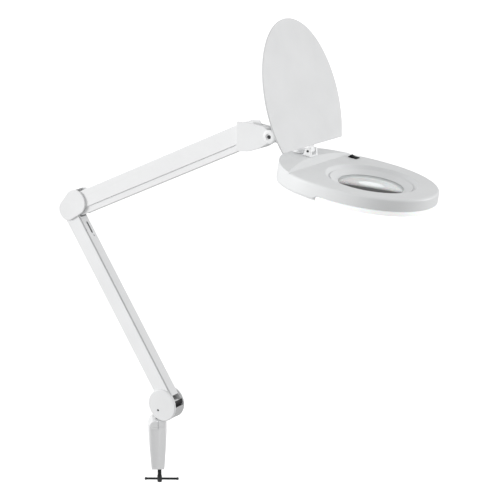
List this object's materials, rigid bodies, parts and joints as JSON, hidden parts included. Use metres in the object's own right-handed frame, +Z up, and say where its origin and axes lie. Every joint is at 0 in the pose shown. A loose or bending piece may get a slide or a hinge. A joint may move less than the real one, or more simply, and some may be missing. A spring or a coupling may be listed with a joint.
{
  "type": "magnifying lamp",
  "caption": "Clamp-on magnifying lamp: spring-balanced parallelogram arms on a swivel base, a flat oval light head with a round glass lens, and a hinged lid.",
  "frame": {"origin": "on the base swivel axis, at the upper jaw's contact face, where the table top bears", "axes": "+Z up along the swivel and clamp screw, the clamp's mouth opens towards +Y, the arms stand in a plane turned 36.5 degrees from +X towards -Y"},
  "size_m": [0.7129, 0.5646, 0.9833],
  "materials": {
    "white_paint": "satin",
    "white_plastic": "satin",
    "grey_paint": "satin",
    "satin_metal": "satin",
    "dark_steel": "blackened",
    "black_plastic": "satin",
    "black_rubber": "matte",
    "clear_glass": "polished",
    "opal_plastic": "matte",
    "board": "satin",
    "lid_plastic": "satin"
  },
  "bodies": {
    "clamp": {"clamp_bracket": "grey_paint", "jaw_pad": "black_rubber", "swivel_bushing": "black_plastic"},
    "foot": {"pressure_foot": "dark_steel", "foot_pad": "black_rubber"},
    "screw": {"clamp_screw": "dark_steel"},
    "handle": {"clamp_handle": "dark_steel"},
    "base": {"base_core": "satin_metal", "base_cover_front": "white_plastic", "base_cover_rear": "white_plastic", "cover_screw_front": "dark_steel", "cover_screw_rear": "dark_steel", "base_arm_pin": "satin_metal", "base_link_pin": "satin_metal"},
    "lower_arm": {"lower_arm_channel": "white_paint", "lower_spring_front": "satin_metal", "lower_spring_rear": "satin_metal", "lower_spring_anchor": "satin_metal"},
    "lower_link": {"lower_arm_link": "white_paint", "arm_guard": "black_plastic"},
    "elbow": {"elbow_core": "white_paint", "elbow_cap_front": "white_plastic", "elbow_cap_rear": "white_plastic", "elbow_lower_arm_pin": "satin_metal", "elbow_lower_link_pin": "satin_metal", "elbow_upper_arm_pin": "satin_metal", "elbow_upper_link_pin": "satin_metal"},
    "upper_arm": {"upper_arm_channel": "white_paint", "upper_spring_front": "satin_metal", "upper_spring_rear": "satin_metal", "upper_spring_anchor": "satin_metal"},
    "upper_link": {"upper_arm_link": "white_paint"},
    "wrist": {"wrist_shell_front": "white_plastic", "wrist_shell_rear": "white_plastic", "wrist_core": "white_paint", "wrist_arm_pin": "satin_metal", "wrist_link_pin": "satin_metal", "tilt_bolt": "dark_steel", "tilt_boss_front": "white_plastic", "tilt_boss_rear": "white_plastic", "tilt_washer_front": "satin_metal", "tilt_washer_rear": "satin_metal"},
    "neck": {"neck": "white_plastic", "neck_nut": "satin_metal"},
    "head": {"head_top_shell": "white_plastic", "head_rear_cover": "white_plastic", "diffuser": "opal_plastic", "lens": "clear_glass", "lens_retainer": "white_plastic", "led_board": "board", "driver_board": "board", "rocker_frame": "black_plastic", "lid_hinge_seat": "white_plastic", "lid_hinge_pin": "dark_steel"},
    "rocker": {"rocker": "black_plastic"},
    "lid": {"lid": "lid_plastic", "lid_arm": "white_plastic"}
  },
  "joints": [
    {"name": "screw_travel", "type": "slide", "parent": "clamp", "child": "foot", "axis": [0, 0, 1], "range_m": [-0.049, 0.008]},
    {"name": "screw_turn", "type": "hinge", "parent": "foot", "child": "screw", "pos_m": [-0.004, 0.014, -0.06], "axis": [0, 0, 1], "range_deg": [-8900, 1500]},
    {"name": "handle_slide", "type": "slide", "parent": "screw", "child": "handle", "axis": [0.9962, -0.0872, 0], "range_m": [-0.0265, 0.0185]},
    {"name": "base_swivel", "type": "hinge", "parent": "clamp", "child": "base", "pos_m": [0, 0, 0.02], "axis": [0, 0, 1], "continuous": true},
    {"name": "lower_arm_tilt", "type": "hinge", "parent": "base", "child": "lower_arm", "pos_m": [0.01447, -0.01071, 0.0647], "axis": [-0.5948, -0.8039, 0], "range_deg": [-63, 11]},
    {"name": "lower_link_tilt", "type": "hinge", "parent": "base", "child": "lower_link", "pos_m": [0.03055, -0.0226, 0.0647], "axis": [-0.5948, -0.8039, 0], "range_deg": [-63, 11]},
    {"name": "elbow_level", "type": "hinge", "parent": "lower_arm", "child": "elbow", "pos_m": [-0.1792, 0.1326, 0.43288], "axis": [-0.5948, -0.8039, 0], "range_deg": [-11, 63]},
    {"name": "upper_arm_tilt", "type": "hinge", "parent": "elbow", "child": "upper_arm", "pos_m": [-0.14847, 0.10986, 0.4682], "axis": [-0.5948, -0.8039, 0], "range_deg": [-44, 40]},
    {"name": "upper_link_tilt", "type": "hinge", "parent": "elbow", "child": "upper_link", "pos_m": [-0.14847, 0.10986, 0.4402], "axis": [-0.5948, -0.8039, 0], "range_deg": [-44, 40]},
    {"name": "wrist_level", "type": "hinge", "parent": "upper_arm", "child": "wrist", "pos_m": [0.17439, -0.12904, 0.64787], "axis": [-0.5948, -0.8039, 0], "range_deg": [-40, 44]},
    {"name": "head_tilt", "type": "hinge", "parent": "wrist", "child": "neck", "pos_m": [0.2201, -0.16286, 0.638], "axis": [-0.5948, -0.8039, 0], "range_deg": [-40, 35]},
    {"name": "head_swivel", "type": "hinge", "parent": "neck", "child": "head", "pos_m": [0.26091, -0.19306, 0.60393], "axis": [0.1258, -0.0931, 0.9877], "range_deg": [-50, 50]},
    {"name": "rocker_press", "type": "hinge", "parent": "head", "child": "rocker", "pos_m": [0.3714, -0.15789, 0.59156], "axis": [0.5948, 0.8039, 0], "range_deg": [0, 7]},
    {"name": "lid_hinge", "type": "hinge", "parent": "head", "child": "lid", "pos_m": [0.28467, -0.21064, 0.61798], "axis": [-0.5948, -0.8039, 0], "range_deg": [-113.5, 4]}
  ],
  "couplings": [
    {"joint": "screw_turn", "follows": "screw_travel", "rad_per_m": 3141.6},
    {"joint": "lower_link_tilt", "follows": "lower_arm_tilt", "ratio": 1},
    {"joint": "elbow_level", "follows": "lower_arm_tilt", "ratio": -1},
    {"joint": "upper_link_tilt", "follows": "upper_arm_tilt", "ratio": 1},
    {"joint": "wrist_level", "follows": "upper_arm_tilt", "ratio": -1}
  ]
}
